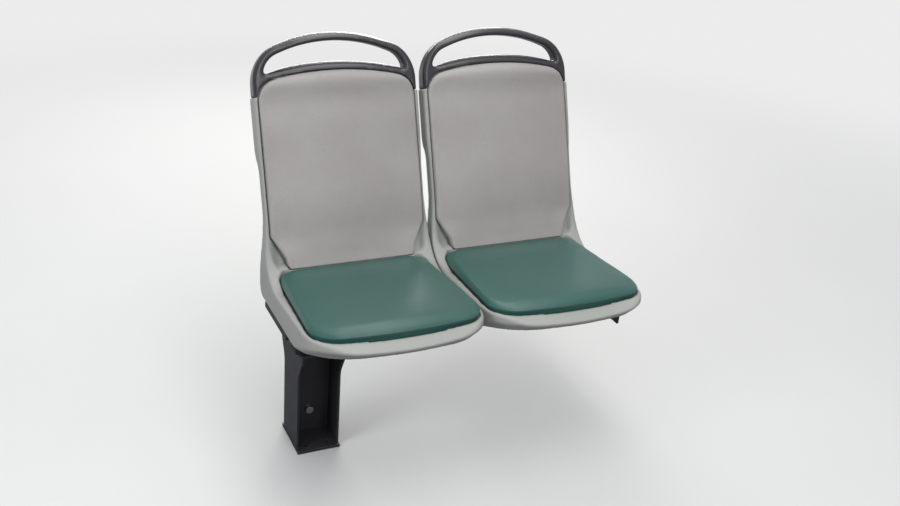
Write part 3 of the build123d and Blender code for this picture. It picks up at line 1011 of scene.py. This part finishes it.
def press_wings(piece, share, dish):
    """Dish the shell between its two ridges, around the hips only."""
    points = points_of(piece)
    local = points - back_plane[1]
    depth, way, corner = rim_depth(local[:, 1:])
    across = np.abs(local[:, 0])
    inside = fade(across, 0.188, 0.214)
    near_hip = fade(local[:, 2], 0.06, 0.14) * fade(-local[:, 1], 0.03, 0.11)
    beside_pad = smooth_step(across, 0.135, 0.160) * near_hip
    sunk = inside * (share * corner + dish * beside_pad)
    skin = 1 - np.clip(depth / (sunk + 0.015), 0, 1)
    points[:, 1:] += way * (sunk * skin)[:, None]
    set_points(piece, points)


print("hip bend turns about", np.round(bend_centre, 4))

# %% [markdown]
# The front lip is a bead: its upper half slopes down from the cushion and its lower half turns
# back under, into the dark. The solid's lip ends upright, so the part just above its lower
# edge, which climbs from the skirts to the front, is drawn inward. The pan's outline, two
# corner rounds and a bow, tells how far inside it a point is.

# %% Turn the lip under
half_width, pan_depth = 0.221, 0.412
corner_drop, corner_radius = 0.133, 0.125
bow_square = half_width**2 - 2 * half_width * corner_radius + corner_drop**2
bow_radius = bow_square / (2 * (corner_drop - corner_radius))
edge_forward = (0.20, 0.236, 0.274, 0.310, 0.345, 0.382)
edge_below = (0.075, 0.069, 0.060, 0.047, 0.036, 0.030)


def inside_pan(x, forward):
    """Distance of points inside the pan's outline, and the way inward."""
    x_size = np.abs(x)
    corner_middle = (half_width - corner_radius, pan_depth - corner_drop)
    corner = np.stack((x_size - corner_middle[0], forward - corner_middle[1]), axis=1)
    bow = np.stack((x_size, forward - (pan_depth - bow_radius)), axis=1)
    corner_arm = np.linalg.norm(corner, axis=1)
    bow_arm = np.linalg.norm(bow, axis=1)
    in_corner = bow[:, 0] * (bow_radius - corner_drop) > bow[:, 1] * corner_middle[0]
    distance = np.where(in_corner, corner_radius - corner_arm, bow_radius - bow_arm)
    inward = np.where(in_corner[:, None], -corner / corner_arm[:, None], -bow / bow_arm[:, None])
    inward[:, 0] *= np.sign(x)
    return distance, inward


def turn_lip_under(piece, most):
    """Draw the lower part of the front lip inward."""
    local = into_plane(points_of(piece), pan_plane)
    x, forward, height = local.T
    distance, inward = inside_pan(x, np.maximum(forward, pan_depth - corner_drop))
    edge = np.interp(forward, edge_forward, edge_below)
    lower = smooth_step(-height, edge - 0.019, edge + 0.012)
    front = smooth_step(forward, 0.20, 0.32)
    rim = fade(distance, 0.01, 0.04)
    local[:, :2] += inward * (most * lower * front * rim)[:, None]
    set_points(piece, out_of_plane(local, pan_plane))


print("the lip's bow has a radius of", round(bow_radius, 3), "m")

# %% [markdown]
# The shell is the piece that everything else sits on: one moulding for back, hips, pan and
# lip. It is softened first, on a fine grid, because the two forms need enough points to bend
# smoothly, and thinned out last.

# %% Mould the shells
shell = copy_of("seat_shell_aisle", "moulded_shell_aisle")
soften(shell, mould_grid, passes=5)
press_wings(shell, share=0.95, dish=0.007)
turn_lip_under(shell, most=0.022)
thin_out(shell, 0.5)
shell_2 = shifted_to_window(shell, "moulded_shell_window")
dress(shell, "shell_plastic", "seat_shell_aisle")
dress(shell_2, "shell_plastic", "seat_shell_window")

# %% [markdown]
# ## Welds and fixings
#
# A welded frame shows its beads. A bead is a row of small frozen ripples, laid where two
# parts meet, so each one is a short round rod whose thickness swells and shrinks along its
# length: rings of points with faces between them.

# %% Build a weld bead
def join_rings(faces, first, rings, sides):
    """Add the faces between neighbouring rings of points, and return the last ring."""
    for ring in range(rings - 1):
        for turn in range(sides):
            here = first + ring * sides + turn
            beside = first + ring * sides + (turn + 1) % sides
            faces.append((here, beside, beside + sides, here + sides))
    last = first + (rings - 1) * sides
    return tuple(range(last, last + sides))


def rod(points, faces, start, end, radius, sides=8, ripple=0.13, step_length=0.0014):
    """Add a rippled rod between two points to lists of points and faces."""
    start, end = Vector(start), Vector(end)
    along = (end - start).normalized()
    side = along.orthogonal().normalized()
    other = along.cross(side)
    steps = max(int((end - start).length / step_length), 6)
    first = len(points)
    for step in range(steps + 1):
        share = step / steps
        swelling = 1 + ripple * cos(step * 2 * pi / 3)
        taper = min(1.0, 0.45 + 6 * min(share, 1 - share))
        for turn in range(sides):
            angle = turn * 2 * pi / sides
            out = (cos(angle) * side + sin(angle) * other) * radius * swelling * taper
            points.append(start + (end - start) * share + out)
    lid = join_rings(faces, first, steps + 1, sides)
    faces.append(tuple(reversed(range(first, first + sides))))
    faces.append(lid)


points, faces = [], []
rod(points, faces, (0, 0, 0), (0.03, 0, 0), 0.0028)
print("a bead of 30 mm has", len(points), "points")

# %% [markdown]
# Beads run where each cross tube meets the saddle, the wall plate and the stays, and where the
# leg meets the saddle. All of them are one mesh in the frame's own finish, because the powder
# coat covers them too.

# %% Weld the frame
bead, stay_bead, leg_bead = 0.0028, 0.0024, 0.0026
saddle_low, saddle_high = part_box("leg_saddle")
points, faces = [], []
for tube in ("front_cross_tube", "rear_cross_tube"):
    low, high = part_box(tube)
    left, right = saddle_low.x + 0.004, saddle_high.x - 0.004
    front, rear = low.y + 0.004, high.y - 0.004
    for y in (low.y, high.y):
        rod(points, faces, (left, y, low.z), (right, y, low.z), bead)
        rod(points, faces, (high.x, y, low.z + 0.004), (high.x, y, high.z - 0.004), bead)
    rod(points, faces, (high.x, front, high.z), (high.x, rear, high.z), bead)
    for place in ("aisle", "window"):
        for hand in ("left", "right"):
            web = middle_of(f"seat_stay_{place}_{hand}")
            for x in (web - 0.0025, web + 0.0025):
                rod(points, faces, (x, front, high.z), (x, rear, high.z), stay_bead)
front, rear = saddle_low.y + 0.006, saddle_high.y - 0.006
for x in (saddle_low.x, saddle_high.x):
    rod(points, faces, (x, front, saddle_low.z), (x, rear, saddle_low.z), leg_bead)
welds = new_mesh_object("frame_welds", points, faces)
welds.data.shade_smooth()
dress(welds, "black_steel")

# %% [markdown]
# Every fixing here is turned from one stack of rings. A ring is round or, where a spanner or
# a key grips, has six sides. Going up the stack gives a washer, a head and the socket in it.

# %% Turn the fixings
def turned(points, faces, place, direction, rings, sides=24):
    """Add a stack of rings, each (radius, height, corners), to lists of points and faces."""
    turn_to = Vector(direction).to_track_quat("Z", "Y")
    first = len(points)
    for radius, height, corners in rings:
        for turn in range(sides):
            angle = turn * 2 * pi / sides
            reach = radius
            if corners:
                reach /= cos((angle + pi / corners) % (2 * pi / corners) - pi / corners)
            ring_point = Vector((reach * cos(angle), reach * sin(angle), height))
            points.append(Vector(place) + turn_to @ ring_point)
    faces.append(join_rings(faces, first, len(rings), sides))


hex_bolt = [(0.0085, -0.001, 0), (0.0085, 0.0013, 0), (0.0081, 0.0017, 0), (0.0066, 0.0017, 0)]
hex_bolt += [(0.0062, 0.0019, 6), (0.0062, 0.0052, 6), (0.0058, 0.006, 0), (0.005, 0.0063, 0)]
stay_bolt = [(radius * 0.72, height * 0.72, corners) for radius, height, corners in hex_bolt]
socket_screw = [(0.0055, -0.001, 0), (0.0055, 0.0008, 0), (0.0048, 0.0021, 0), (0.0034, 0.0029, 0)]
socket_screw += [(0.0026, 0.003, 0), (0.0021, 0.003, 6), (0.0021, 0.0008, 6)]
print("rings: stay bolt", len(stay_bolt), "socket screw", len(socket_screw))

# %% [markdown]
# Each rear cover is held by four socket screws near its corners and each handle by one at the
# back of either end. The stays are bolted to the shell from below, beside their webs. The
# cover is bowed, so its screws stand square to that bow.

# %% Place the fixings
def on_back(x, up, behind):
    """Point of a place given across, up its back and behind the back's front."""
    return Vector(out_of_plane(np.array((x, up, -behind)), back_plane))


backward, downward = Vector(-back_plane[0][2]), -pan_plane[0][2]
handle_rear = backward + 0.105 * Vector(back_plane[0][1])
cover_half, cover_bow, cover_skin, cover_wall = 0.216, 0.025, 0.0173, 0.003
cover_radius = (cover_half**2 + cover_bow**2) / (2 * cover_bow)
screw_across, screw_heights = 0.176, (0.052, 0.402)
end_across, end_up, end_behind = 0.200, 0.470, 0.0412
stay_across, stay_depth, beside_web = 0.110, -0.0223, 0.0095
screws, screw_faces = [], []
bolts, bolt_faces = [], []
for shift in (0, window_x - aisle_x):
    for sign in (-1, 1):
        for up in screw_heights:
            x = sign * screw_across
            fall = cover_radius - (cover_radius**2 - x**2) ** 0.5
            place = on_back(x + shift, up, cover_skin + cover_bow - fall + cover_wall)
            tilt = backward + Vector((x / cover_radius, 0, 0))
            turned(screws, screw_faces, place, tilt, socket_screw)
        handle_end = on_back(sign * end_across + shift, end_up, end_behind)
        turned(screws, screw_faces, handle_end, handle_rear, socket_screw)
        for forward in (0.105, 0.265, 0.325):
            for offset in (-beside_web, beside_web):
                local = np.array((sign * stay_across + offset + shift, forward, stay_depth))
                turned(bolts, bolt_faces, out_of_plane(local, pan_plane), downward, stay_bolt)
screw_heads = new_mesh_object("cover_screws", screws, screw_faces)
dress(screw_heads, "zinc")
bolt_heads = new_mesh_object("stay_bolts", bolts, bolt_faces)
dress(bolt_heads, "zinc")

# %% [markdown]
# ## Finishes for the solids that stay
#
# Frame, leg, covers and plugs have the right shape already, so they stay, and only their
# material slots change. The record names each node's slot, which picks its finish.

# %% Assign the finishes
for part in frame["record"]["subparts"]:
    solid = frame["nodes"][part["node"]]
    for held in solid.material_slots:
        held.material = finishes[part["material_slot"]]
